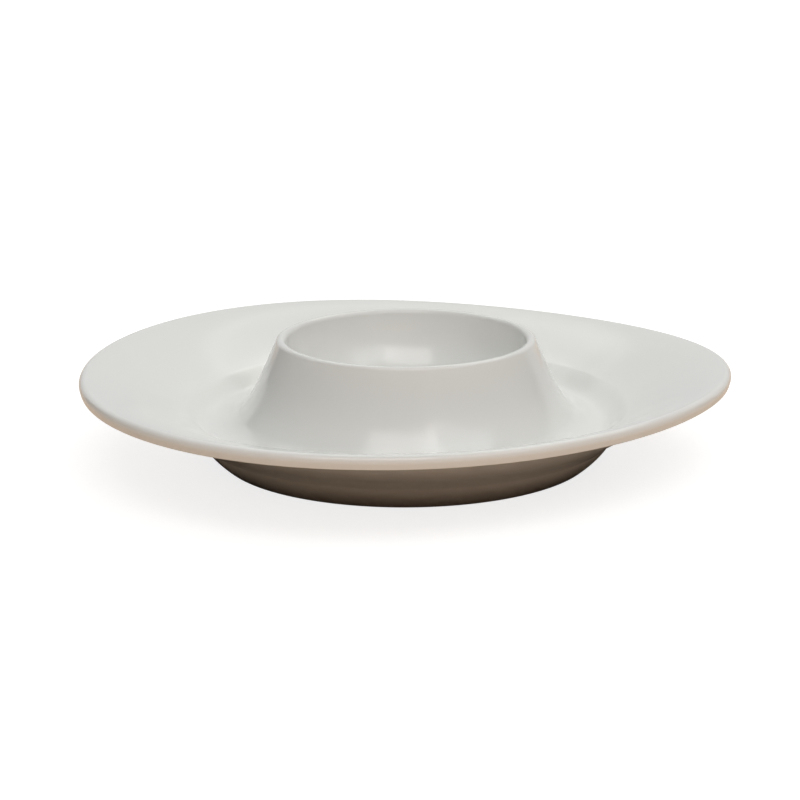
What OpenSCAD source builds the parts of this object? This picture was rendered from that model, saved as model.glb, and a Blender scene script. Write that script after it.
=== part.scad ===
// Egg cup plate: an egg cup and its saucer formed as one porcelain dish.
// The cup's axis is the Z axis, the foot stands on Z = 0 and the pointed
// end of the egg-shaped rim looks along +X.
// Each forming member is a solid of its own. They meet on the seams where
// a potter would lute them before the dish is fired.
// Sections are drawn in the XY plane as [radius, height] and revolved.

/* [Plate rim] */
// Length of the rim from its blunt end to its pointed end
plate_len = 130; // [124:1:150]
// Width of the rim across the cup's axis
plate_w = 127.5; // [120:0.5:150]
// How strongly the outline narrows towards the pointed end
egg_taper = 0.122; // [0:0.001:0.16]
// How full the two ends are; negative ends are slimmer than an oval's
egg_fullness = -0.033; // [-0.06:0.001:0.03]
// Height of the top of the rim's edge, at the distance edge_ref_r
rim_h = 17.7; // [16.5:0.1:19.5]
// Rise of the edge for each millimetre that it lies further out
rim_lift = 0.12; // [0:0.01:0.25]
// Slope of the rim's face just outside the shoulder, in degrees
rim_slope = 27; // [20:1:32]
// Slope of the rim's face where it meets the edge, in degrees
edge_slope = 10; // [4:1:16]
// Radius of the edge's rounded top
edge_round = 1.2; // [0.9:0.1:1.4]
// Length of the flat band from the rounded top to the edge's lower corner
edge_band = 0.8; // [0.4:0.1:1.2]
// How far the band leans inwards towards the lower corner, in degrees
edge_lean = 15; // [5:1:25]
// Slope of the rim's underside where it leaves the edge, in degrees
edge_under = 9; // [4:1:16]
// Slope of the rim's underside below the shoulder, in degrees
under_slope = 30; // [26:1:34]

/* [Well] */
// Radius of the soft shoulder between the well and the rim
shoulder_r = 44.6; // [43.5:0.1:47]
// Height of the shoulder
shoulder_h = 10.6; // [10:0.1:11.5]
// Height of the underside below the shoulder
under_h = 7.2; // [6.8:0.1:7.5]
// Radius of the lowest ring of the well
well_r = 39; // [38:0.1:40]
// Height of the lowest ring of the well
well_h = 7; // [6.6:0.1:7.6]

/* [Cup] */
// Height of the lip, the overall height of the dish
cup_h = 24.1; // [23.8:0.1:26]
// Radius of the cup over the outside of the lip
cup_r = 26; // [25.6:0.1:26.6]
// Thickness of the rolled lip
lip_t = 2; // [1.8:0.1:2.4]
// Depth of the bowl that holds the egg
bowl_depth = 18.8; // [18:0.1:19.2]
// Thickness of the bowl at its bottom
bowl_t = 3.2; // [2.8:0.1:3.6]

/* [Foot] */
// Outer radius of the foot where it stands
foot_r = 37.5; // [37:0.1:38]
// Width of the flat, unglazed ring that the dish stands on
foot_flat = 2.2; // [1.6:0.1:2.6]
// Height of the foot up to the underside of the plate
foot_h = 4.8; // [4.4:0.1:5]

/* [Hidden] */
$fn = 144;

// Steps round the rim, and along its face, its edge, its lower corner and its underside
around_steps = 96;
face_steps = 7;
round_steps = 7;
corner_steps = 2;
under_steps = 4;
// Steps along each curve, each oval, each small round and the lip's inner face
curve_steps = 12;
oval_steps = 18;
small_steps = 6;
lip_steps = 3;

// Distance from the axis at which rim_h holds
edge_ref_r = 63.5;
// Radius of the edge's lower corner
edge_corner = 0.35;
// Where the well's underside meets the foot, and its slope there
under_r = 41.6;
under_foot_slope = 46;

// Centre of the rolled lip's round
lip_c = [cup_r - lip_t / 2, cup_h - lip_t / 2];
// The neck, where the lip's sloping wall passes into the flared skirt
neck_dir = -66;
neck_len = 3.2;
neck = lip_c + lip_t / 2 * dir(90 + neck_dir) + neck_len * dir(neck_dir);
// The knee, where the skirt passes into the well
knee = [33.4, 9.2];
knee_dir = -50;

// The bowl is half of an oval: these are its half width and its depth below lip_c
bowl_r = cup_r - lip_t;
bowl_b = bowl_depth - lip_t / 2;

// The hollow under the cup: a round-topped groove between skirt and bowl
groove_r = 25.1;
groove_round = 1.3;
groove_h = 14;
under_knee = [30.2, 6.6];
under_knee_dir = -50;
under_bowl_h = cup_h - bowl_depth - bowl_t;

// Inner face of the foot at its top and small rounds at its bottom
foot_in_top = 32.3;
foot_in_dir = -50;
foot_round = 0.45;
// Slopes of the foot's outer wall at its bottom and at its top
foot_wall_dir = 38;
foot_top_dir = 60;

function dir(a) = [cos(a), sin(a)];

// Smooth curve from p, leaving in direction a, to q, arriving in direction b
function hermite(p, a, q, b, t) =
    let (reach = norm(q - p))
    p * (2 * pow(t, 3) - 3 * pow(t, 2) + 1)
    + reach * dir(a) * (pow(t, 3) - 2 * pow(t, 2) + t)
    + q * (3 * pow(t, 2) - 2 * pow(t, 3))
    + reach * dir(b) * (pow(t, 3) - pow(t, 2));

function curve(p, a, q, b, steps = curve_steps) =
    [for (i = [0:steps]) hermite(p, a, q, b, i / steps)];

// Round or oval arc about c, with half axes rx and ry, from angle a0 to a1
function arc(c, rx, ry, a0, a1, steps = curve_steps) =
    [for (i = [0:steps]) let (a = a0 + (a1 - a0) * i / steps) c + [rx * cos(a), ry * sin(a)]];

// A row of points without its first one, and without its first and last
function after_first(row) = [for (i = [1:len(row) - 1]) row[i]];
function between(row) = [for (i = [1:len(row) - 2]) row[i]];

// The angle at which the bowl's oval passes the neck's height
neck_angle = -asin((lip_c.y - neck.y) / bowl_b);

// Outline of the rim, an oval whose width shrinks towards the pointed end
function egg(t) = [
    plate_len / 2 * cos(t),
    plate_w / 2 * sin(t) * (1 - egg_taper * cos(t) + egg_fullness * pow(cos(t), 2))
];

// Closed section of the rim where its edge lies at distance r from the axis,
// with its inner end on the shoulder seam at distance seam_r
function rim_section(r, seam_r) =
    let (
        mid = [r - edge_round, rim_h - edge_round + rim_lift * (r - edge_ref_r)],
        top_end = mid + edge_round * dir(90 + edge_slope),
        band_top = mid + edge_round * dir(-edge_lean),
        band_foot = band_top + edge_band * dir(-90 - edge_lean),
        corner = band_foot - edge_corner * dir(-edge_lean),
        low_start = corner + edge_corner * dir(edge_under - 90)
    )
    concat(
        curve([seam_r, shoulder_h], rim_slope, top_end, edge_slope, face_steps),
        after_first(arc(mid, edge_round, edge_round, 90 + edge_slope, -edge_lean, round_steps)),
        arc(corner, edge_corner, edge_corner, -edge_lean, edge_under - 90, corner_steps),
        after_first(curve(low_start, 180 + edge_under, [seam_r, under_h], 180 + under_slope, under_steps))
    );

module plate_rim() {
    // The seam's corners stand just outside the well's round wall
    seam_r = shoulder_r / cos(180 / around_steps);
    rings = [for (i = [0:around_steps - 1])
        let (e = egg(360 * i / around_steps), turn = atan2(e.y, e.x))
        [for (p = rim_section(norm(e), seam_r)) [p.x * cos(turn), p.x * sin(turn), p.y]]];
    count = len(rings[0]);
    points = [for (ring = rings) each ring];
    faces = [for (i = [0:around_steps - 1], j = [0:count - 1])
        let (next_i = (i + 1) % around_steps, next_j = (j + 1) % count)
        [i * count + j, i * count + next_j, next_i * count + next_j, next_i * count + j]];
    color("ghostwhite")
        polyhedron(points = points, faces = faces, convexity = 6);
}

module plate_well() {
    section = concat(
        curve(knee, knee_dir, [well_r, well_h], 0),
        after_first(curve([well_r, well_h], 0, [shoulder_r, shoulder_h], rim_slope)),
        curve([shoulder_r, under_h], 180 + under_slope,
            [under_r, foot_h], 180 + under_foot_slope, small_steps),
        [[foot_in_top, foot_h], under_knee]
    );
    color("ghostwhite")
        rotate_extrude() polygon(section);
}

module foot_ring() {
    flat_out = foot_r - foot_round;
    flat_in = flat_out - foot_flat;
    wall_start = [flat_out, foot_round] + foot_round * dir(foot_wall_dir - 90);
    section = concat(
        [[flat_in, 0]],
        arc([flat_out, foot_round], foot_round, foot_round, -90, foot_wall_dir - 90, small_steps),
        after_first(curve(wall_start, foot_wall_dir, [under_r, foot_h], foot_top_dir, small_steps)),
        [[foot_in_top, foot_h]],
        after_first(curve([foot_in_top, foot_h], foot_in_dir,
            [flat_in - foot_round, foot_round], -90, small_steps)),
        between(arc([flat_in, foot_round], foot_round, foot_round, 180, 270, small_steps))
    );
    color("antiquewhite")
        rotate_extrude() polygon(section);
}

module cup_skirt() {
    section = concat(
        [[groove_r, neck.y]],
        curve(neck, neck_dir, knee, knee_dir),
        curve(under_knee, 180 + under_knee_dir, [groove_r + groove_round, groove_h], 90),
        after_first(arc([groove_r, groove_h], groove_round, groove_round, 0, 90, small_steps))
    );
    color("ghostwhite")
        rotate_extrude() polygon(section);
}

module cup_bowl() {
    section = concat(
        [[groove_r, neck.y]],
        arc([0, lip_c.y], bowl_r, bowl_b, neck_angle, -90, oval_steps),
        arc([0, groove_h], groove_r - groove_round, groove_h - under_bowl_h, -90, 0, oval_steps),
        after_first(arc([groove_r, groove_h], groove_round, groove_round, 180, 90, small_steps))
    );
    color("ghostwhite")
        rotate_extrude() polygon(section);
}

module cup_lip() {
    section = concat(
        [neck],
        arc(lip_c, lip_t / 2, lip_t / 2, 90 + neck_dir, 180, 2 * small_steps),
        after_first(arc([0, lip_c.y], bowl_r, bowl_b, 0, neck_angle, lip_steps))
    );
    color("ghostwhite")
        rotate_extrude() polygon(section);
}

plate_rim();
plate_well();
foot_ring();
cup_skirt();
cup_bowl();
cup_lip();
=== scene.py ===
"""Egg cup plate: an egg cup and its saucer in glazed white porcelain.

The dish is one fired piece. It is made here as the six members that a potter
joins before firing. Each is a closed mesh that meets its neighbours ring to
ring, and its surface normals follow the exact curves, so the glaze runs over
the joins unbroken.

Sections and sizes are in millimetres. Meshes are written in metres, in the
part's own frame: the foot stands on Z = 0 round the cup's axis, and the
pointed end of the rim looks along +X.
"""

from __future__ import annotations

import logging
import math
from collections.abc import Sequence
from dataclasses import dataclass, field
from enum import Enum, IntEnum

import bpy
import numpy as np
from mathutils import Matrix, Vector


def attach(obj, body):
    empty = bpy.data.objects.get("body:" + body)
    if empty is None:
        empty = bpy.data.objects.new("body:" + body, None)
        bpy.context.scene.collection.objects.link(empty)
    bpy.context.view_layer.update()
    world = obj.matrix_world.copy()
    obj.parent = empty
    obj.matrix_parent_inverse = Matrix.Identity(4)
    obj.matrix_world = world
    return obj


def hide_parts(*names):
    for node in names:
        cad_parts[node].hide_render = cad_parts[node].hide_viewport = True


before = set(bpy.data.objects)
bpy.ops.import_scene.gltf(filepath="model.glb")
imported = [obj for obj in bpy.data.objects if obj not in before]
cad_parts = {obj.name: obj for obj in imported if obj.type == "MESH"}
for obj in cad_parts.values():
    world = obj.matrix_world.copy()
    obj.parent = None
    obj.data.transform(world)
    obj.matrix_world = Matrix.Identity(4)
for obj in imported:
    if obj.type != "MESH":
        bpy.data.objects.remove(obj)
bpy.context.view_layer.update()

LOG = logging.getLogger("egg_cup_plate")
MM = 0.001
ROOT = "root"
GLAZE_DEPTH = "glaze_depth"
AROUND = 288
OUTLINE_SAMPLES = 14401
ON_AXIS = 1e-9
NODE_GAP = 180

Triple = tuple[float, float, float]
Colour = Triple
Socket = bpy.types.NodeSocket
Piece = bpy.types.Object
Value = Socket | float | tuple | str
Sockets = bpy.types.bpy_prop_collection
Layers = tuple[Socket, Socket, Socket]


class CadNode(Enum):
    """The CAD nodes that the pieces stand for."""

    RIM = "plate_rim"
    WELL = "plate_well"
    FOOT = "foot_ring"
    SKIRT = "cup_skirt"
    BOWL = "cup_bowl"
    LIP = "cup_lip"


class Slot(Enum):
    """The record's material slots."""

    GLAZED = "glazed_porcelain"
    FOOT = "foot_porcelain"


class Steps(IntEnum):
    """How many steps each kind of run in a section has."""

    SEAM = 3
    SHORT = 4
    CORNER = 8
    ROUND = 10
    FOOT_WALL = 12
    FOOT_INSIDE = 16
    UNDERSIDE = 18
    EDGE = 20
    CURVE = 24
    ROLL = 28
    FACE = 30
    BOWL = 40


def heading(degrees: float) -> np.ndarray:
    """Returns the unit direction of that angle in a section, 0 pointing outwards and 90 up."""
    a = math.radians(degrees)
    return np.array([math.cos(a), math.sin(a)])


def eased(share: np.ndarray) -> np.ndarray:
    """Returns a share kept between 0 and 1 and eased at both ends."""
    kept = np.clip(share, 0.0, 1.0)
    return kept * kept * (3.0 - 2.0 * kept)


def link(name: str, data: bpy.types.ID) -> Piece:
    """Puts a new object in the scene.

    Args:
        name: its name.
        data: its mesh, light or camera.

    Returns:
        The object.
    """
    made = bpy.data.objects.new(name, data)
    bpy.context.scene.collection.objects.link(made)
    return made


def outward(azimuth: float, elevation: float) -> Vector:
    """Finds a direction seen from the dish.

    Args:
        azimuth: degrees from -Y towards +X.
        elevation: degrees above the table.

    Returns:
        The unit direction.
    """
    turn, up = math.radians(azimuth), math.radians(elevation)
    return Vector((math.sin(turn) * math.cos(up), -math.cos(turn) * math.cos(up), math.sin(up)))


@dataclass(frozen=True)
class Strip:
    """One smooth run of a section, walked with the porcelain on its right.

    Attributes:
        points: radius and height at each step in mm, with the steps first. A run
            that differs round the dish has one more axis in front, one entry per turn.
        heads: unit direction of the walk at each point, in the same layout.
    """

    points: np.ndarray
    heads: np.ndarray


def straight(start: Sequence[float], end: Sequence[float], steps: int = 1) -> Strip:
    """Lays a straight run.

    Args:
        start: first point, radius and height.
        end: last point.
        steps: how many equal steps the run has.

    Returns:
        The run.
    """
    p, q = np.asarray(start, float), np.asarray(end, float)
    t = np.linspace(0.0, 1.0, steps + 1)[:, None]
    way = (q - p) / np.linalg.norm(q - p)
    return Strip(p + t * (q - p), np.tile(way, (steps + 1, 1)))


def sweep(
    start: Sequence[float], leave: float, end: Sequence[float], arrive: float, steps: int
) -> Strip:
    """Lays a free curve between two points with given directions at its ends.

    Args:
        start: first point, radius and height.
        leave: direction at the first point, in degrees.
        end: last point.
        arrive: direction at the last point, in degrees.
        steps: how many steps the curve has.

    Returns:
        The curve.
    """
    p, q = np.asarray(start, float), np.asarray(end, float)
    reach = float(np.linalg.norm(q - p))
    a, b = reach * heading(leave), reach * heading(arrive)
    t = np.linspace(0.0, 1.0, steps + 1)[:, None]
    points = (
        p * (2 * t**3 - 3 * t**2 + 1)
        + a * (t**3 - 2 * t**2 + t)
        + q * (3 * t**2 - 2 * t**3)
        + b * (t**3 - t**2)
    )
    heads = (
        p * (6 * t**2 - 6 * t)
        + a * (3 * t**2 - 4 * t + 1)
        + q * (6 * t - 6 * t**2)
        + b * (3 * t**2 - 2 * t)
    )
    return Strip(points, heads / np.linalg.norm(heads, axis=1, keepdims=True))


def oval(
    centre: Sequence[float], halves: tuple[float, float], start: float, end: float, steps: int
) -> Strip:
    """Lays part of an oval, or of a circle where both halves are the same.

    Args:
        centre: middle of the oval, radius and height.
        halves: half of its width and half of its height.
        start: angle of the first point, in degrees.
        end: angle of the last point, in degrees.
        steps: how many steps the run has.

    Returns:
        The run.
    """
    a = np.radians(np.linspace(start, end, steps + 1))
    wide, high = halves
    points = np.stack([centre[0] + wide * np.cos(a), centre[1] + high * np.sin(a)], axis=1)
    turn = 1.0 if end > start else -1.0
    heads = turn * np.stack([-wide * np.sin(a), high * np.cos(a)], axis=1)
    return Strip(points, heads / np.linalg.norm(heads, axis=1, keepdims=True))


@dataclass(frozen=True)
class Joins:
    """The points where the forming members meet, and the directions there.

    Lengths are in mm and directions in degrees, walked outwards and downwards
    from the cup's lip.
    """

    lip_height: float = 24.1
    lip_radius: float = 26.0
    lip_thickness: float = 2.0
    bowl_depth: float = 18.8
    neck_length: float = 3.2
    neck_slope: float = -66.0
    knee: tuple[float, float] = (33.4, 9.2)
    knee_slope: float = -50.0
    shoulder: tuple[float, float] = (44.6, 10.6)
    shoulder_slope: float = 27.0
    under_slope: float = 30.0
    under_rise: float = 7.2
    under_foot: tuple[float, float] = (41.6, 4.8)
    under_foot_slope: float = 46.0
    foot_inner: tuple[float, float] = (32.3, 4.8)
    under_knee: tuple[float, float] = (30.2, 6.6)
    groove: tuple[float, float] = (25.1, 14.0)
    groove_round: float = 1.3

    @property
    def lip_centre(self) -> tuple[float, float]:
        """Returns the middle of the lip's round."""
        half = self.lip_thickness / 2
        return self.lip_radius - half, self.lip_height - half

    @property
    def bowl_halves(self) -> tuple[float, float]:
        """Returns the half width and the depth of the bowl's oval below the lip's middle."""
        return self.lip_radius - self.lip_thickness, self.bowl_depth - self.lip_thickness / 2

    @property
    def lip_end(self) -> tuple[float, float]:
        """Returns the point where the lip's round passes into its sloping wall."""
        end = self.lip_centre + self.lip_thickness / 2 * heading(90.0 + self.neck_slope)
        return end[0], end[1]

    @property
    def neck(self) -> tuple[float, float]:
        """Returns the point where the lip's wall passes into the skirt."""
        end = self.lip_end + self.neck_length * heading(self.neck_slope)
        return end[0], end[1]

    @property
    def neck_turn(self) -> float:
        """Returns the angle on the bowl's oval at the neck's height, in degrees."""
        drop = self.lip_centre[1] - self.neck[1]
        return -math.degrees(math.asin(drop / self.bowl_halves[1]))

    @property
    def inner_neck(self) -> tuple[float, float]:
        """Returns the point of the bowl's inner face at the neck's height."""
        return self.bowl_halves[0] * math.cos(math.radians(self.neck_turn)), self.neck[1]

    @property
    def seam(self) -> tuple[float, float]:
        """Returns the point where the lip, the bowl and the skirt all meet."""
        return self.groove[0], self.neck[1]

    @property
    def groove_top(self) -> tuple[float, float]:
        """Returns the highest point of the hollow between the bowl and the skirt."""
        return self.groove[0], self.groove[1] + self.groove_round

    @property
    def under_shoulder(self) -> tuple[float, float]:
        """Returns the point under the shoulder on the rim's underside."""
        return self.shoulder[0], self.under_rise


@dataclass(frozen=True)
class GlazeRun:
    """Where the glaze gathered and where it ran thin while it was molten.

    Attributes:
        pools: rings that gathered glaze, as radius, height and reach in mm.
        thins: rings that it ran away from, in the same layout.
        edge_thin: distance in mm from the middle of the rim's edge up to which it is thin.
        edge_fade: distance in mm over which it then grows full.
    """

    pools: tuple[Triple, ...] = (
        (38.0, 7.0, 7.0),
        (0.0, 5.3, 14.0),
        (41.6, 4.8, 2.2),
        (25.1, 14.8, 3.0),
    )
    thins: tuple[Triple, ...] = (
        (25.0, 24.1, 1.9),
        (37.3, 0.4, 1.0),
    )
    edge_thin: float = 1.2
    edge_fade: float = 1.4

    def at(self, places: np.ndarray, from_edge: np.ndarray | None) -> np.ndarray:
        """Measures the glaze at points of the surface.

        Args:
            places: points in mm, shape (n, 3).
            from_edge: distance of each from the middle of the rim's edge, if it is near one.

        Returns:
            One number for each point: above 0 where glaze gathered, below 0 where it is thin.
        """
        radius = np.hypot(places[:, 0], places[:, 1])
        depth = np.zeros(len(places))
        for sign, rings in ((1.0, self.pools), (-1.0, self.thins)):
            for out, up, reach in rings:
                depth += sign * eased(1.0 - np.hypot(radius - out, places[:, 2] - up) / reach)
        if from_edge is not None:
            depth -= eased(1.0 - (from_edge - self.edge_thin) / self.edge_fade)
        return np.clip(depth, -1.0, 1.0)


@dataclass
class Former:
    """Turns closed sections into meshes round the cup's axis.

    Attributes:
        around: how many steps a full turn has.
        glaze: where the glaze gathered.
    """

    around: int = AROUND
    glaze: GlazeRun = field(default_factory=GlazeRun)

    def turns(self) -> np.ndarray:
        """Returns the angle of each step of the turn, in radians."""
        return np.linspace(0.0, 2.0 * math.pi, self.around, endpoint=False)

    def shape(
        self, name: str, section: Sequence[Strip], edge: np.ndarray | None = None
    ) -> Piece:
        """Makes a closed solid from a closed section.

        Args:
            name: name of the new object.
            section: runs that follow one another and close on themselves.
            edge: middle of the rim's edge at each step of the turn, for a section
                that differs round the dish.

        Returns:
            The new object, linked to the scene.
        """
        n = self.around
        full = [
            Strip(
                np.broadcast_to(s.points, (n, *s.points.shape[-2:])),
                np.broadcast_to(s.heads, (n, *s.heads.shape[-2:])),
            )
            for s in section
        ]
        ring = np.concatenate([s.points[:, :-1] for s in full], axis=1)
        count = ring.shape[1]
        angle = self.turns()
        spin = np.stack([np.cos(angle), np.sin(angle)], axis=1)
        place = np.concatenate([ring[:, :, :1] * spin[:, None], ring[:, :, 1:]], axis=2)
        from_edge = None
        if edge is not None:
            from_edge = np.linalg.norm(ring - edge[:, None], axis=2).ravel()

        number = np.arange(n * count).reshape(n, count)
        on_axis = ring[0, :, 0] < ON_AXIS
        number[:, on_axis] = number[0, on_axis]
        faces: list[tuple[int, ...]] = []
        normals: list[np.ndarray] = []
        step = 0
        for s in full:
            normal = self._normals(s, spin, edge is not None)
            for j in range(s.points.shape[1] - 1):
                a, b = step % count, (step + 1) % count
                step += 1
                if on_axis[a] and on_axis[b]:
                    continue
                for k in range(n):
                    m = (k + 1) % n
                    corners = [(k, a, j), (k, b, j + 1), (m, b, j + 1), (m, a, j)]
                    if on_axis[a]:
                        corners.pop()
                    elif on_axis[b]:
                        corners.pop(2)
                    faces.append(tuple(int(number[turn, spot]) for turn, spot, _ in corners))
                    normals.extend(normal[turn, at] for turn, _, at in corners)
        return self._write(name, place.reshape(-1, 3), faces, normals, from_edge)

    def _normals(self, strip: Strip, spin: np.ndarray, lofted: bool) -> np.ndarray:
        """Finds the outward normal at every point of a run, all round the dish.

        Args:
            strip: the run, one entry per turn.
            spin: cosine and sine of each turn.
            lofted: whether the run differs from turn to turn.

        Returns:
            Unit normals, shape (turns, points, 3).
        """
        along = np.concatenate([strip.heads[:, :, :1] * spin[:, None], strip.heads[:, :, 1:]], axis=2)
        if lofted:
            place = np.concatenate([strip.points[:, :, :1] * spin[:, None], strip.points[:, :, 1:]], axis=2)
            round_ = np.roll(place, -1, axis=0) - np.roll(place, 1, axis=0)
        else:
            flat = np.stack([-spin[:, 1], spin[:, 0], np.zeros(len(spin))], axis=1)
            round_ = np.broadcast_to(flat[:, None], along.shape)
        normal = np.cross(along, round_)
        return normal / np.linalg.norm(normal, axis=2, keepdims=True)

    def _write(
        self,
        name: str,
        places: np.ndarray,
        faces: list[tuple[int, ...]],
        normals: list[np.ndarray],
        from_edge: np.ndarray | None,
    ) -> Piece:
        """Writes a mesh object, leaving out points that no face uses.

        Args:
            name: name of the new object.
            places: points in mm.
            faces: corners of each face, by number.
            normals: normal at each corner, in the faces' order.
            from_edge: distance of each point from the rim's edge, if the piece has one.

        Returns:
            The object.
        """
        used = sorted({c for f in faces for c in f})
        renumber = {old: new for new, old in enumerate(used)}
        kept = places[used]
        mesh = bpy.data.meshes.new(name)
        mesh.from_pydata((kept * MM).tolist(), [], [[renumber[c] for c in f] for f in faces])
        mesh.update()
        mesh.polygons.foreach_set("use_smooth", [True] * len(mesh.polygons))
        mesh.normals_split_custom_set([tuple(v) for v in normals])
        depth = self.glaze.at(kept, None if from_edge is None else from_edge[used])
        layer = mesh.attributes.new(GLAZE_DEPTH, "FLOAT", "POINT")
        layer.data.foreach_set("value", depth.astype(np.float32))
        return link(name, mesh)


@dataclass
class NodeBench:
    """Lays nodes in one tree and joins them.

    Attributes:
        tree: the tree of a material, a world or a group.
    """

    tree: bpy.types.NodeTree

    @classmethod
    def afresh(cls, owner: bpy.types.Material | bpy.types.World) -> NodeBench:
        """Clears the tree of a material or of a world.

        Args:
            owner: what the tree belongs to.

        Returns:
            The bench on its empty tree.
        """
        owner.use_nodes = True
        owner.node_tree.nodes.clear()
        return cls(owner.node_tree)

    def lay(
        self, kind: str, label: str = "", inputs: dict[str | int, Value] | None = None
    ) -> bpy.types.Node:
        """Adds a node.

        Args:
            kind: the node's type.
            label: what it is for.
            inputs: what it takes, by the name or the number of the socket.

        Returns:
            The node.
        """
        node = self.tree.nodes.new(kind)
        node.label = label
        node.location.x = NODE_GAP * len(self.tree.nodes)
        for key, value in (inputs or {}).items():
            self.feed(node.inputs[key], value)
        return node

    def feed(self, socket: Socket, value: Value) -> None:
        """Joins a socket to another one, or writes a value on it.

        Args:
            socket: the input.
            value: an output socket, a number, a point or a colour.
        """
        if isinstance(value, Socket):
            self.tree.links.new(value, socket)
        elif isinstance(value, tuple) and len(value) == 3 and socket.type == "RGBA":
            socket.default_value = (*value, 1.0)
        else:
            socket.default_value = value

    def maths(self, operation: str, *values: Value, clamp: bool = False) -> Socket:
        """Works out a value.

        Args:
            operation: how.
            *values: from what, in order.
            clamp: whether the result is kept between 0 and 1.

        Returns:
            The result.
        """
        node = self.lay("ShaderNodeMath", operation.lower())
        node.operation = operation
        node.use_clamp = clamp
        for socket, value in zip(node.inputs, values):
            self.feed(socket, value)
        return node.outputs[0]

    def between(
        self, value: Value, low: float, high: float, to_low: float = 0.0, to_high: float = 1.0
    ) -> Socket:
        """Eases a value from one range into another.

        Args:
            value: what is eased.
            low: start of its range.
            high: end of its range.
            to_low: result at the start.
            to_high: result at the end.

        Returns:
            The result.
        """
        node = self.lay("ShaderNodeMapRange", "ease")
        node.interpolation_type = "SMOOTHSTEP"
        for socket, v in zip(node.inputs[:5], (value, low, high, to_low, to_high)):
            self.feed(socket, v)
        return node.outputs[0]

    def blend(self, share: Value, low: Value, high: Value) -> Socket:
        """Mixes two colours.

        Args:
            share: how much of the second one.
            low: the first colour.
            high: the second colour.

        Returns:
            The mixed colour.
        """
        node = self.lay("ShaderNodeMix", "blend")
        node.data_type = "RGBA"
        self.feed(node.inputs["Factor"], share)
        colours = [s for s in node.inputs if s.type == "RGBA"]
        self.feed(colours[0], low)
        self.feed(colours[1], high)
        return next(s for s in node.outputs if s.type == "RGBA")

    def either(
        self, share: Value, first: bpy.types.Node, second: bpy.types.Node
    ) -> bpy.types.Node:
        """Mixes two shaders.

        Args:
            share: how much of the second one.
            first: node of the first shader.
            second: node of the second shader.

        Returns:
            The mixing node.
        """
        shaders = {0: share, 1: first.outputs[0], 2: second.outputs[0]}
        return self.lay("ShaderNodeMixShader", "either", shaders)

    def noise(self, place: Value, scale: float, detail: float = 2.0) -> Socket:
        """Adds a soft noise.

        Args:
            place: where on the surface.
            scale: how many cells a metre has.
            detail: how many finer layers it has.

        Returns:
            A value round one half.
        """
        inputs = {"Vector": place, "Scale": scale, "Detail": detail}
        return self.lay("ShaderNodeTexNoise", "noise", inputs).outputs["Fac"]


class Kind(Enum):
    """What a node group's socket carries."""

    VALUE = "NodeSocketFloat"
    VECTOR = "NodeSocketVector"
    COLOUR = "NodeSocketColor"


class EffectGroup:
    """A shader node group with named inputs and one output, built once and then shared."""

    name: str
    takes: dict[str, Kind]
    gives: dict[str, Kind]

    @classmethod
    def tree(cls) -> bpy.types.NodeTree:
        """Builds the group the first time that it is asked for.

        Returns:
            The group's tree.
        """
        found = bpy.data.node_groups.get(cls.name)
        if found is not None:
            return found
        made = bpy.data.node_groups.new(cls.name, "ShaderNodeTree")
        for way, sockets in (("INPUT", cls.takes), ("OUTPUT", cls.gives)):
            for name, kind in sockets.items():
                made.interface.new_socket(name=name, in_out=way, socket_type=kind.value)
        bench = NodeBench(made)
        entry = bench.lay("NodeGroupInput")
        leaving = bench.lay("NodeGroupOutput")
        bench.feed(leaving.inputs[0], cls.fill(bench, entry.outputs))
        return made

    @classmethod
    def fill(cls, bench: NodeBench, given: Sockets) -> Value:
        """Lays the group's own nodes.

        Args:
            bench: the group's tree.
            given: its inputs, by name.

        Returns:
            What it gives.
        """
        raise NotImplementedError

    @classmethod
    def use(cls, bench: NodeBench, **values: Value) -> Socket:
        """Places the group in a material.

        Args:
            bench: the material's tree.
            **values: the group's inputs.

        Returns:
            Its output.
        """
        node = bench.lay("ShaderNodeGroup", cls.name)
        node.node_tree = cls.tree()
        for key, value in values.items():
            bench.feed(node.inputs[key], value)
        return node.outputs[0]


class GlazeTone(EffectGroup):
    """Colour of the body seen through the glaze: cooler where it pooled, barer where it ran thin."""

    name = "glaze_tone"
    takes = {
        "Place": Kind.VECTOR,
        "Depth": Kind.VALUE,
        "Body": Kind.COLOUR,
        "Pooled": Kind.COLOUR,
        "Thin": Kind.COLOUR,
        "Cloud": Kind.VALUE,
    }
    gives = {"Colour": Kind.COLOUR}

    @classmethod
    def fill(cls, bench: NodeBench, given: Sockets) -> Value:
        """Lays the group's own nodes.

        Args:
            bench: the group's tree.
            given: its inputs, by name.

        Returns:
            What it gives.
        """
        cloud = bench.noise(given["Place"], 38.0, 3.0)
        drift = bench.maths("SUBTRACT", cloud, 0.5)
        pooled = bench.maths("ADD", given["Depth"], bench.maths("MULTIPLY", drift, 0.5))
        pool_share = bench.maths("MULTIPLY", bench.between(pooled, 0.05, 1.1), 0.8)
        thin_share = bench.between(bench.maths("MULTIPLY", given["Depth"], -1.0), 0.1, 1.0)
        tone = bench.blend(pool_share, given["Body"], given["Pooled"])
        tone = bench.blend(thin_share, tone, given["Thin"])
        shade = bench.maths("MULTIPLY_ADD", drift, bench.maths("MULTIPLY", given["Cloud"], 2.0), 1.0)
        scaled = bench.lay("ShaderNodeVectorMath", "cloudiness", {0: tone})
        scaled.operation = "SCALE"
        bench.feed(scaled.inputs["Scale"], shade)
        return scaled.outputs[0]


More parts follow.
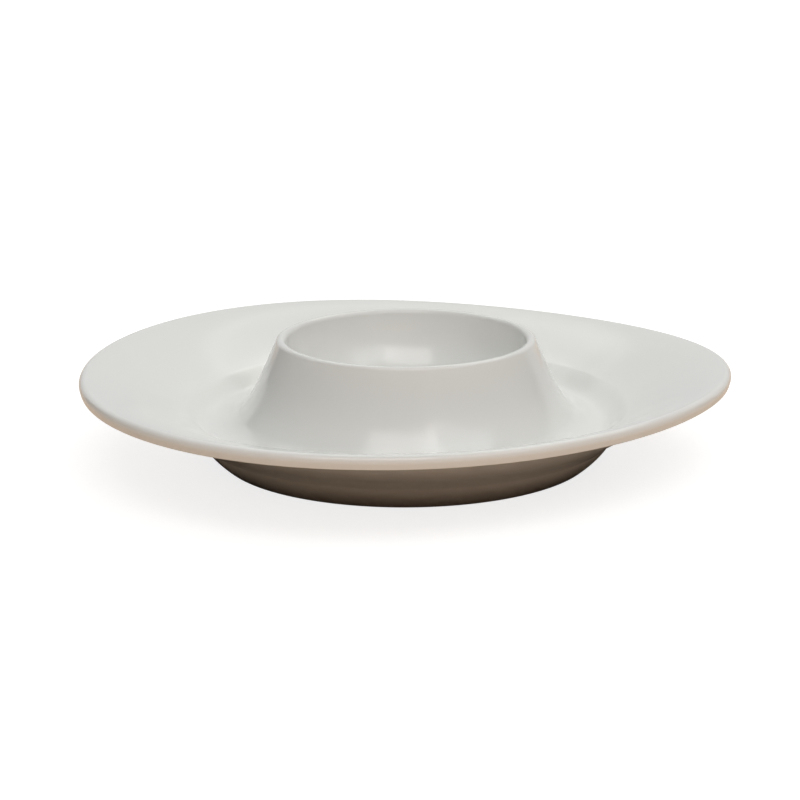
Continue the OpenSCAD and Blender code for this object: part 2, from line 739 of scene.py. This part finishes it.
class GlazeRelief(EffectGroup):
    """Height of the glaze's own surface: slow ripples, faint turning rings and fine orange peel."""

    name = "glaze_relief"
    takes = {
        "Place": Kind.VECTOR,
        "Ripple": Kind.VALUE,
        "Rings": Kind.VALUE,
        "Peel": Kind.VALUE,
    }
    gives = {"Height": Kind.VALUE}

    @classmethod
    def fill(cls, bench: NodeBench, given: Sockets) -> Value:
        """Lays the group's own nodes.

        Args:
            bench: the group's tree.
            given: its inputs, by name.

        Returns:
            What it gives.
        """
        ripple = bench.maths("MULTIPLY", bench.noise(given["Place"], 95.0, 1.0), given["Ripple"])
        peel = bench.maths("MULTIPLY", bench.noise(given["Place"], 900.0, 1.0), given["Peel"])
        across, along, up = bench.lay("ShaderNodeSeparateXYZ", "", {0: given["Place"]}).outputs
        square = bench.maths("MULTIPLY_ADD", across, across, bench.maths("MULTIPLY", along, along))
        flat = bench.maths("POWER", square, 0.5)
        turned = bench.lay("ShaderNodeCombineXYZ", "turned", {0: flat, 2: up})
        rings = bench.maths("MULTIPLY", bench.noise(turned.outputs[0], 420.0, 1.0), given["Rings"])
        return bench.maths("ADD", bench.maths("ADD", ripple, rings), peel)


class FiringMarks(EffectGroup):
    """Sparse dark specks under the glaze and the pits that gas left in it."""

    name = "firing_marks"
    takes = {
        "Place": Kind.VECTOR,
        "Spread": Kind.VALUE,
        "Share": Kind.VALUE,
        "Size": Kind.VALUE,
    }
    gives = {"Mask": Kind.VALUE}

    @classmethod
    def fill(cls, bench: NodeBench, given: Sockets) -> Value:
        """Lays the group's own nodes.

        Args:
            bench: the group's tree.
            given: its inputs, by name.

        Returns:
            What it gives.
        """
        scatter = {"Vector": given["Place"], "Scale": given["Spread"]}
        cells = bench.lay("ShaderNodeTexVoronoi", "scatter", scatter)
        chance = bench.lay("ShaderNodeSeparateXYZ", "chance", {0: cells.outputs["Color"]})
        chosen = bench.maths("LESS_THAN", chance.outputs[0], given["Share"])
        size = bench.maths("MULTIPLY", given["Size"], bench.maths("ADD", chance.outputs[1], 0.35))
        away = bench.maths("DIVIDE", cells.outputs["Distance"], size)
        near = bench.maths("SUBTRACT", 1.0, away, clamp=True)
        return bench.maths("MULTIPLY", bench.between(near, 0.0, 0.6), chosen)


class SinglePit(EffectGroup):
    """One round pit at a given place."""

    name = "single_pit"
    takes = {
        "Place": Kind.VECTOR,
        "Centre": Kind.VECTOR,
        "Radius": Kind.VALUE,
    }
    gives = {"Mask": Kind.VALUE}

    @classmethod
    def fill(cls, bench: NodeBench, given: Sockets) -> Value:
        """Lays the group's own nodes.

        Args:
            bench: the group's tree.
            given: its inputs, by name.

        Returns:
            What it gives.
        """
        ends = {0: given["Place"], 1: given["Centre"]}
        apart = bench.lay("ShaderNodeVectorMath", "distance", ends)
        apart.operation = "DISTANCE"
        share = bench.maths("DIVIDE", apart.outputs["Value"], given["Radius"])
        return bench.between(share, 0.5, 1.0, 1.0, 0.0)


@dataclass(frozen=True)
class Pit:
    """A pinhole or speck in the glaze.

    Attributes:
        place: where it is, in mm.
        radius: its radius in mm.
        strength: how dark it is, up to 1.
    """

    place: Triple
    radius: float
    strength: float


@dataclass(frozen=True)
class GlazedPorcelain:
    """Clear gloss glaze over a white porcelain body.

    Attributes:
        name: the material's name.
        body: colour of the body through the glaze.
        pooled: colour where the glaze gathered.
        thin: colour where it ran thin.
        speck: colour of specks and of the bottoms of pits.
        index: the glaze's refractive index.
        gloss: roughness of the clean glaze.
        haze: how much rougher handled patches are.
        relief: height of the whole relief, in mm.
        pits: single marks that this dish has.
    """

    name: str
    body: Colour = (0.80, 0.80, 0.785)
    pooled: Colour = (0.775, 0.79, 0.78)
    thin: Colour = (0.815, 0.805, 0.785)
    speck: Colour = (0.16, 0.14, 0.12)
    index: float = 1.52
    gloss: float = 0.03
    haze: float = 0.035
    relief: float = 0.02
    pits: tuple[Pit, ...] = (
        Pit((25.4, -16.8, 13.4), 0.5, 0.8),
        Pit((-44.2, -0.9, 10.4), 0.4, 0.3),
    )

    def make(self) -> bpy.types.Material:
        """Builds the material the first time that it is asked for.

        Returns:
            The material.
        """
        found = bpy.data.materials.get(self.name)
        if found is not None:
            return found
        made = bpy.data.materials.new(self.name)
        bench = NodeBench.afresh(made)
        place = bench.lay("ShaderNodeTexCoord").outputs["Object"]
        depth = bench.lay("ShaderNodeAttribute", "glaze depth")
        depth.attribute_name = GLAZE_DEPTH
        colour, roughness, height = self.layers(bench, place, depth.outputs["Fac"])
        waves = {"Height": height, "Distance": self.relief * MM, "Strength": 1.0}
        bump = bench.lay("ShaderNodeBump", "relief", waves)
        inputs = {
            "Base Color": colour,
            "Roughness": roughness,
            "Normal": bump.outputs[0],
            "IOR": self.index,
        }
        shader = bench.lay("ShaderNodeBsdfPrincipled", self.name, inputs)
        bench.lay("ShaderNodeOutputMaterial", "", {"Surface": shader.outputs[0]})
        return made

    def layers(self, bench: NodeBench, place: Value, depth: Value) -> Layers:
        """Lays the glaze's colour, roughness and relief.

        Args:
            bench: the material's tree.
            place: coordinates on the dish.
            depth: how deep the glaze is.

        Returns:
            Colour, roughness and height.
        """
        toned = GlazeTone.use(
            bench,
            Place=place,
            Depth=depth,
            Body=self.body,
            Pooled=self.pooled,
            Thin=self.thin,
            Cloud=0.012,
        )
        marks = FiringMarks.use(bench, Place=place, Spread=95.0, Share=0.035, Size=0.012)
        fine = FiringMarks.use(bench, Place=place, Spread=210.0, Share=0.05, Size=0.014)
        fine = bench.maths("MULTIPLY", fine, 0.2)
        marked = bench.maths("MAXIMUM", bench.maths("MULTIPLY", marks, 0.45), fine)
        for pit in self.pits:
            centre = tuple(v * MM for v in pit.place)
            one = SinglePit.use(bench, Place=place, Centre=centre, Radius=pit.radius * MM)
            marked = bench.maths("MAXIMUM", marked, bench.maths("MULTIPLY", one, pit.strength))
        colour = bench.blend(marked, toned, self.speck)
        patches = bench.between(bench.noise(place, 60.0, 3.0), 0.45, 0.75)
        roughness = bench.maths("MULTIPLY_ADD", patches, self.haze, self.gloss)
        roughness = bench.maths("MULTIPLY_ADD", marked, 0.3, roughness)
        relief = GlazeRelief.use(bench, Place=place, Ripple=0.6, Rings=0.08, Peel=0.012)
        height = bench.maths("MULTIPLY_ADD", marked, -1.2, relief)
        return colour, roughness, height


@dataclass(frozen=True)
class FootPorcelain(GlazedPorcelain):
    """Glazed foot whose standing ring was wiped bare before firing.

    Attributes:
        bare: colour of the bare body.
        scuff: colour of the marks that tables leave on it.
        line: colour of the glaze's edge, tanned in the fire.
        bare_height: height in mm up to which the ring was wiped.
        ragged: how far that height wanders in mm.
    """

    bare: Colour = (0.72, 0.69, 0.63)
    scuff: Colour = (0.42, 0.39, 0.35)
    line: Colour = (0.6, 0.5, 0.38)
    bare_height: float = 0.32
    ragged: float = 0.35

    def layers(self, bench: NodeBench, place: Value, depth: Value) -> Layers:
        """Lays the glaze and, on the standing ring, the bare body.

        Args:
            bench: the material's tree.
            place: coordinates on the dish.
            depth: how deep the glaze is.

        Returns:
            Colour, roughness and height.
        """
        colour, roughness, height = super().layers(bench, place, depth)
        parts = bench.lay("ShaderNodeSeparateXYZ", "", {0: place})
        drift = bench.maths("SUBTRACT", bench.noise(place, 340.0, 3.0), 0.5)
        ragged = bench.maths("MULTIPLY", drift, self.ragged * MM)
        level = bench.maths("ADD", parts.outputs[2], ragged)
        top = self.bare_height * MM
        wiped = bench.between(level, top * 0.8, top, 1.0, 0.0)
        rim_line = bench.maths("MULTIPLY", wiped, bench.between(level, top * 0.35, top * 0.8))
        grain = bench.noise(place, 2600.0, 3.0)
        scuffs = bench.between(bench.noise(place, 160.0, 4.0), 0.5, 0.72)
        body = bench.blend(bench.maths("MULTIPLY", scuffs, 0.55), self.bare, self.scuff)
        body = bench.blend(bench.maths("MULTIPLY", rim_line, 0.6), body, self.line)
        colour = bench.blend(wiped, colour, body)
        matt = bench.maths("MULTIPLY_ADD", grain, 0.15, 0.7)
        rough = bench.lay("ShaderNodeMix", "glaze or bare")
        for socket, value in zip((s for s in rough.inputs if s.type == "VALUE"), (wiped, roughness, matt)):
            bench.feed(socket, value)
        tooth = bench.maths("MULTIPLY", bench.maths("MULTIPLY", grain, wiped), 0.5)
        height = bench.maths("ADD", height, tooth)
        return colour, rough.outputs[0], height


@dataclass
class Assembly:
    """A part of the dish, made of pieces with the same finish.

    Attributes:
        joins: where its pieces meet the others.
        former: what turns their sections.
        finish: their glaze.
    """

    joins: Joins
    former: Former
    finish: GlazedPorcelain

    def pieces(self) -> dict[CadNode, Piece]:
        """Builds the pieces.

        Returns:
            Each one, by the CAD node that it stands for.
        """
        raise NotImplementedError

    def build(self, slot: str) -> list[Piece]:
        """Builds and dresses the pieces and puts them in place of their CAD nodes.

        Args:
            slot: the record's material slot; not used.

        Returns:
            The pieces.
        """
        made = self.pieces()
        for stands_for, piece in made.items():
            node = stands_for.value
            piece.data.materials.append(self.finish.make())
            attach(piece, ROOT)
            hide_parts(node)
        return list(made.values())


@dataclass
class EggCup(Assembly):
    """The cup in the middle: the rolled lip, the bowl and the flared skirt.

    Attributes:
        bowl_wall: thickness of the bowl at its bottom in mm.
    """

    bowl_wall: float = 3.2

    def pieces(self) -> dict[CadNode, Piece]:
        """Returns the lip, the bowl and the skirt."""
        return {
            CadNode.LIP: self._lip(),
            CadNode.BOWL: self._bowl(),
            CadNode.SKIRT: self._skirt(),
        }

    def _lip(self) -> Piece:
        """Builds the thin rolled lip.

        Returns:
            The lip.
        """
        j = self.joins
        half = j.lip_thickness / 2
        section = [
            oval((0.0, j.lip_centre[1]), j.bowl_halves, j.neck_turn, 0.0, Steps.CORNER),
            oval(j.lip_centre, (half, half), 180.0, 90.0 + j.neck_slope, Steps.ROLL),
            straight(j.lip_end, j.neck, Steps.CORNER),
            straight(j.neck, j.seam),
            straight(j.seam, j.inner_neck),
        ]
        return self.former.shape("rolled_lip", section)

    def _bowl(self) -> Piece:
        """Builds the bowl that holds the egg, hollowed underneath.

        Returns:
            The bowl.
        """
        j = self.joins
        top, under = j.lip_centre[1], j.lip_height - j.bowl_depth - self.bowl_wall
        hollow = (j.groove[0] - j.groove_round, j.groove[1] - under)
        small = (j.groove_round, j.groove_round)
        section = [
            oval((0.0, top), j.bowl_halves, -90.0, j.neck_turn, Steps.BOWL),
            straight(j.inner_neck, j.seam),
            straight(j.seam, j.groove_top, Steps.SHORT),
            oval(j.groove, small, 90.0, 180.0, Steps.ROUND),
            oval((0.0, j.groove[1]), hollow, 0.0, -90.0, Steps.BOWL),
            straight((0.0, under), (0.0, top - j.bowl_halves[1])),
        ]
        return self.former.shape("egg_bowl", section)

    def _skirt(self) -> Piece:
        """Builds the flared outer wall.

        Returns:
            The skirt.
        """
        j = self.joins
        inner = (j.groove[0] + j.groove_round, j.groove[1])
        small = (j.groove_round, j.groove_round)
        section = [
            sweep(j.neck, j.neck_slope, j.knee, j.knee_slope, Steps.BOWL),
            straight(j.knee, j.under_knee, Steps.SEAM),
            sweep(j.under_knee, 180.0 + j.knee_slope, inner, 90.0, Steps.CURVE),
            oval(j.groove, small, 0.0, 90.0, Steps.ROUND),
            straight(j.groove_top, j.seam, Steps.SHORT),
            straight(j.seam, j.neck),
        ]
        return self.former.shape("cup_skirt_wall", section)


@dataclass
class Saucer(Assembly):
    """The egg-shaped rim and the round well inside it.

    Attributes:
        length: from the blunt end to the pointed end, in mm.
        width: the outline's width in mm, a hair under the CAD outline's, so that the
            finer steps stay inside its box.
        taper: how strongly the outline narrows towards the point.
        fullness: how full its two ends are.
        edge_round: radius of the edge's rounded top in mm.
        edge_corner: radius of the small round at its foot in mm.
        edge_band: length of the flat band between the two in mm.
        edge_lean: how far the band leans inwards towards its foot, in degrees.
        edge_height: height of the edge's highest line in mm at edge_reference.
        edge_reference: distance from the axis at which edge_height holds.
        edge_rise: rise of the edge for each mm further out.
        edge_slope: slope of the face where it meets the edge, in degrees.
        edge_under: slope of the underside where it leaves the edge, in degrees.
        well: lowest ring of the well, radius and height in mm.
    """

    length: float = 130.0
    width: float = 127.47
    taper: float = 0.122
    fullness: float = -0.033
    edge_round: float = 1.2
    edge_corner: float = 0.35
    edge_band: float = 0.8
    edge_lean: float = 15.0
    edge_height: float = 17.7
    edge_reference: float = 63.5
    edge_rise: float = 0.12
    edge_slope: float = 10.0
    edge_under: float = 9.0
    well: tuple[float, float] = (39.0, 7.0)

    def pieces(self) -> dict[CadNode, Piece]:
        """Returns the rim and the well."""
        return {CadNode.RIM: self._rim(), CadNode.WELL: self._well()}

    def _outline(self) -> np.ndarray:
        """Traces the egg-shaped outline.

        Returns:
            Its distance from the axis at each step of the turn, in mm.
        """
        t = np.linspace(0.0, 2.0 * math.pi, OUTLINE_SAMPLES)
        cos = np.cos(t)
        x = self.length / 2 * cos
        y = self.width / 2 * np.sin(t) * (1.0 - self.taper * cos + self.fullness * cos**2)
        turn = np.unwrap(np.arctan2(y, x))
        return np.interp(self.former.turns(), turn, np.hypot(x, y))

    def _rim_section(self, middle: np.ndarray) -> list[Strip]:
        """Lays the rim's section at one step of the turn.

        Args:
            middle: centre of the edge's rounded top, radius and height.

        Returns:
            The runs of the section.
        """
        j = self.joins
        top, foot, lean = self.edge_round, self.edge_corner, -self.edge_lean
        top_end = middle + top * heading(90.0 + self.edge_slope)
        band_top = middle + top * heading(lean)
        band_foot = band_top + self.edge_band * heading(lean - 90.0)
        corner = band_foot - foot * heading(lean)
        low_start = corner + foot * heading(self.edge_under - 90.0)
        leave, arrive = 180.0 + self.edge_under, 180.0 + j.under_slope
        return [
            sweep(j.shoulder, j.shoulder_slope, top_end, self.edge_slope, Steps.FACE),
            oval(middle, (top, top), 90.0 + self.edge_slope, lean, Steps.EDGE),
            straight(band_top, band_foot, Steps.SHORT),
            oval(corner, (foot, foot), lean, self.edge_under - 90.0, Steps.CORNER),
            sweep(low_start, leave, j.under_shoulder, arrive, Steps.UNDERSIDE),
            straight(j.under_shoulder, j.shoulder, Steps.SEAM),
        ]

    def _rim(self) -> Piece:
        """Builds the flange from the shoulder out to its rounded edge.

        Returns:
            The rim.
        """
        outline = self._outline()
        rise = self.edge_height - self.edge_round + self.edge_rise * (outline - self.edge_reference)
        middles = np.stack([outline - self.edge_round, rise], axis=1)
        section = [
            Strip(np.stack([run.points for run in runs]), np.stack([run.heads for run in runs]))
            for runs in zip(*(self._rim_section(middle) for middle in middles))
        ]
        return self.former.shape("saucer_rim", section, edge=middles)

    def _well(self) -> Piece:
        """Builds the round trough between the cup and the rim.

        Returns:
            The well.
        """
        j = self.joins
        leave, arrive = 180.0 + j.under_slope, 180.0 + j.under_foot_slope
        section = [
            sweep(j.knee, j.knee_slope, self.well, 0.0, Steps.CURVE),
            sweep(self.well, 0.0, j.shoulder, j.shoulder_slope, Steps.CURVE),
            straight(j.shoulder, j.under_shoulder, Steps.SEAM),
            sweep(j.under_shoulder, leave, j.under_foot, arrive, Steps.CORNER),
            straight(j.under_foot, j.foot_inner),
            straight(j.foot_inner, j.under_knee, Steps.SHORT),
            straight(j.under_knee, j.knee, Steps.SEAM),
        ]
        return self.former.shape("saucer_well", section)


@dataclass
class Foot(Assembly):
    """The flared round foot with its bare standing ring.

    Attributes:
        radius: outer radius where it stands, in mm.
        flat: width of the flat ring in mm.
        corner: radius of its small rounds in mm.
        wall_slope: slope of the outer wall where it leaves the lower round, in degrees.
        top_slope: its slope where it meets the saucer, in degrees.
        inner_slope: slope of the inner wall at its top, in degrees.
    """

    radius: float = 37.5
    flat: float = 2.2
    corner: float = 0.45
    wall_slope: float = 38.0
    top_slope: float = 60.0
    inner_slope: float = -50.0

    def pieces(self) -> dict[CadNode, Piece]:
        """Builds the foot.

        Returns:
            The foot alone.
        """
        j, c = self.joins, self.corner
        out = self.radius - c
        inner = out - self.flat
        low = oval((out, c), (c, c), self.wall_slope - 90.0, -90.0, Steps.ROUND)
        leave, arrive = 180.0 + self.top_slope, 180.0 + self.wall_slope
        section = [
            straight(j.foot_inner, j.under_foot),
            sweep(j.under_foot, leave, low.points[0], arrive, Steps.FOOT_WALL),
            low,
            straight((out, 0.0), (inner, 0.0), Steps.SEAM),
            oval((inner, c), (c, c), -90.0, -180.0, Steps.CORNER),
            sweep((inner - c, c), 90.0, j.foot_inner, 180.0 + self.inner_slope, Steps.FOOT_INSIDE),
        ]
        return {CadNode.FOOT: self.former.shape("standing_foot", section)}


@dataclass(frozen=True)
class Viewpoint:
    """The camera: where it stands and how it is framed.

    Attributes:
        distance: from the target, in metres.
        elevation: above the table, in degrees.
        turn: how far it stands from -Y towards -X, in degrees.
        roll: its turn about its own axis, in degrees.
        target_height: height of the target in metres.
        lens: focal length in mm.
        sensor: width of the sensor in mm.
        shift: sideways and upward shift of the view, as shares of its width.
        clip: nearest and furthest distance that it sees, in metres.
    """

    distance: float = 0.48
    elevation: float = 14.77
    turn: float = 4.70
    roll: float = -0.23
    target_height: float = 0.012
    lens: float = 107.565
    sensor: float = 36.0
    shift: tuple[float, float] = (-0.007765, -0.006318)
    clip: tuple[float, float] = (0.01, 20.0)

    def place(self) -> Piece:
        """Makes the camera the scene's own.

        Returns:
            The camera.
        """
        data = bpy.data.cameras.new("viewpoint")
        data.sensor_width = self.sensor
        data.lens = self.lens
        data.shift_x, data.shift_y = self.shift
        data.clip_start, data.clip_end = self.clip
        camera = link("viewpoint", data)
        back = outward(-self.turn, self.elevation)
        aim = (-back).to_track_quat("-Z", "Y").to_matrix().to_4x4()
        spin = Matrix.Rotation(math.radians(self.roll), 4, "Z")
        where = Matrix.Translation(back * self.distance + Vector((0.0, 0.0, self.target_height)))
        camera.matrix_world = where @ aim @ spin
        bpy.context.scene.camera = camera
        return camera


@dataclass(frozen=True)
class SoftBox:
    """A soft rectangular light.

    Attributes:
        name: its name.
        azimuth: where it stands, in degrees from -Y towards +X.
        elevation: how high it stands, in degrees.
        width: how wide it looks from the dish, in degrees.
        height: how high it looks from the dish, in degrees.
        radiance: how bright its face is.
        tint: its colour.
        distance: from the dish in metres.
    """

    name: str
    azimuth: float
    elevation: float
    width: float
    height: float
    radiance: float
    tint: Colour = (1.0, 1.0, 1.0)
    distance: float = 1.2

    def place(self) -> Piece:
        """Hangs the light, facing the dish.

        Returns:
            The light.
        """
        data = bpy.data.lights.new(self.name, "AREA")
        data.shape = "RECTANGLE"
        data.size = 2 * self.distance * math.tan(math.radians(self.width / 2))
        data.size_y = 2 * self.distance * math.tan(math.radians(self.height / 2))
        data.energy = self.radiance * math.pi * data.size * data.size_y
        data.color = self.tint
        light = link(self.name, data)
        out = outward(self.azimuth, self.elevation)
        light.location = out * self.distance
        light.rotation_mode = "QUATERNION"
        light.rotation_quaternion = out.to_track_quat("Z", "Y")
        light.visible_camera = False
        return light


@dataclass(frozen=True)
class Room:
    """The even light of the room round the table.

    Attributes:
        above: colour from straight overhead.
        beside: colour from the horizon.
        seen: colour that the camera sees beyond the floor.
        overhead: height on the unit sphere from which the light is all overhead light.
    """

    above: Colour = (0.23, 0.235, 0.232)
    beside: Colour = (0.02, 0.015, 0.01)
    seen: Colour = (1.0, 1.0, 1.0)
    overhead: float = 0.9

    def light(self) -> None:
        """Builds the world."""
        world = bpy.data.worlds.new("room")
        bench = NodeBench.afresh(world)
        place = bench.lay("ShaderNodeTexCoord").outputs["Generated"]
        parts = bench.lay("ShaderNodeSeparateXYZ", "", {0: place})
        height = bench.between(parts.outputs[2], 0.0, self.overhead)
        tone = bench.blend(height, self.beside, self.above)
        lit = bench.lay("ShaderNodeBackground", "light", {"Color": tone})
        seen = bench.lay("ShaderNodeBackground", "seen", {"Color": self.seen})
        by_camera = bench.lay("ShaderNodeLightPath").outputs["Is Camera Ray"]
        shown = bench.either(by_camera, lit, seen)
        bench.lay("ShaderNodeOutputWorld", "", {"Surface": shown.outputs[0]})
        bpy.context.scene.world = world


@dataclass(frozen=True)
class Table:
    """The plain pale floor that the dish stands on.

    The camera sees it pale. The dish is lit by it as by a brown table top, with painted shade darkening
    that brown close to the foot.

    Attributes:
        half: half of its width in metres.
        pale: its colour as seen.
        lift: light that it gives of itself, so that it stays pale.
        wood: the colour that it throws on the dish.
        painted_foot_shade: painted shade; the wood's colour close to the foot, darkened to stand in for the
            shadow that falls there.
        shade_reach: how far that painted shade reaches from the cup's axis, in metres.
    """

    half: float = 4.0
    pale: Colour = (0.4, 0.4, 0.4)
    lift: float = 0.8
    wood: Colour = (0.88, 0.7, 0.56)
    # Painted shade: the wood's colour near the foot, darkened to stand in for the shadow there.
    painted_foot_shade: Colour = (0.015, 0.009, 0.005)
    shade_reach: tuple[float, float] = (0.043, 0.07)

    def lay(self) -> Piece:
        """Makes the floor.

        Returns:
            The floor.
        """
        h = self.half
        mesh = bpy.data.meshes.new("floor")
        mesh.from_pydata([(-h, -h, 0), (h, -h, 0), (h, h, 0), (-h, h, 0)], [], [(0, 1, 2, 3)])
        floor = link("floor", mesh)
        mesh.materials.append(self._finish())
        return floor

    def _finish(self) -> bpy.types.Material:
        """Builds the floor's material.

        Returns:
            The material.
        """
        made = bpy.data.materials.new("pale_floor")
        bench = NodeBench.afresh(made)
        pale = bench.lay("ShaderNodeBsdfDiffuse", "seen", {"Color": self.pale})
        glow = bench.lay("ShaderNodeEmission", "lift", {"Strength": self.lift})
        both = {0: pale.outputs[0], 1: glow.outputs[0]}
        seen = bench.lay("ShaderNodeAddShader", "seen", both)
        place = bench.lay("ShaderNodeTexCoord").outputs["Object"]
        away = bench.lay("ShaderNodeVectorMath", "from the axis", {0: place})
        away.operation = "LENGTH"
        # Painted shade: the thrown colour eases from the dark shade colour near the foot to the full wood
        # colour further out.
        open_share = bench.between(away.outputs["Value"], *self.shade_reach)
        thrown = {"Color": bench.blend(open_share, self.painted_foot_shade, self.wood)}
        wood = bench.lay("ShaderNodeBsdfDiffuse", "thrown", thrown)
        by_camera = bench.lay("ShaderNodeLightPath").outputs["Is Camera Ray"]
        shown = bench.either(by_camera, wood, seen)
        from_below = bench.lay("ShaderNodeNewGeometry").outputs["Backfacing"]
        shown = bench.either(from_below, shown, bench.lay("ShaderNodeBsdfTransparent"))
        bench.lay("ShaderNodeOutputMaterial", "", {"Surface": shown.outputs[0]})
        return made


def studio() -> list[SoftBox]:
    """Lists the soft lights round the dish.

    Returns:
        The lights, not yet hung.
    """
    return [
        SoftBox("window", -8.0, 57.0, 39.0, 26.0, 2.8, (1.0, 0.985, 0.965)),
        SoftBox("window_right", 43.0, 49.0, 38.0, 22.0, 1.8, (0.95, 0.98, 1.0)),
        SoftBox("room_glow", 10.0, 10.0, 60.0, 21.0, 0.42, (1.0, 0.58, 0.34)),
        SoftBox("lamp_middle", 13.0, 39.5, 0.7, 0.7, 90.0, (1.0, 0.8, 0.6)),
        SoftBox("lamp_high", 18.0, 43.5, 0.7, 0.7, 90.0, (1.0, 0.8, 0.6)),
        SoftBox("back_right", 130.0, 57.0, 32.0, 28.0, 1.38, (1.0, 0.99, 0.9)),
        SoftBox("back_left", -145.0, 57.0, 43.0, 28.0, 0.72, (0.92, 0.975, 0.99)),
        SoftBox("back_middle", 170.0, 50.0, 40.0, 24.0, 0.98, (0.97, 0.975, 0.985)),
        SoftBox("backdrop", 168.0, 20.0, 90.0, 40.0, 0.64, (0.965, 0.97, 0.985)),
    ]


def main() -> None:
    """Builds the camera, the dish, the table and the light."""
    logging.basicConfig(level=logging.INFO, format="%(message)s")
    bpy.context.scene.view_settings.view_transform = "Standard"
    Viewpoint().place()
    joins, former = Joins(), Former()
    glaze = GlazedPorcelain("glazed_porcelain")
    foot_glaze = FootPorcelain("foot_porcelain")
    assemblies = (
        (EggCup(joins, former, glaze), Slot.GLAZED),
        (Saucer(joins, former, glaze), Slot.GLAZED),
        (Foot(joins, former, foot_glaze), Slot.FOOT),
    )
    for assembly, slot in assemblies:
        for piece in assembly.build(slot.value):
            LOG.info("%s: %d faces", piece.name, len(piece.data.polygons))
    Table().lay()
    Room().light()
    for box in studio():
        box.place()


if __name__ == "__main__":
    main()
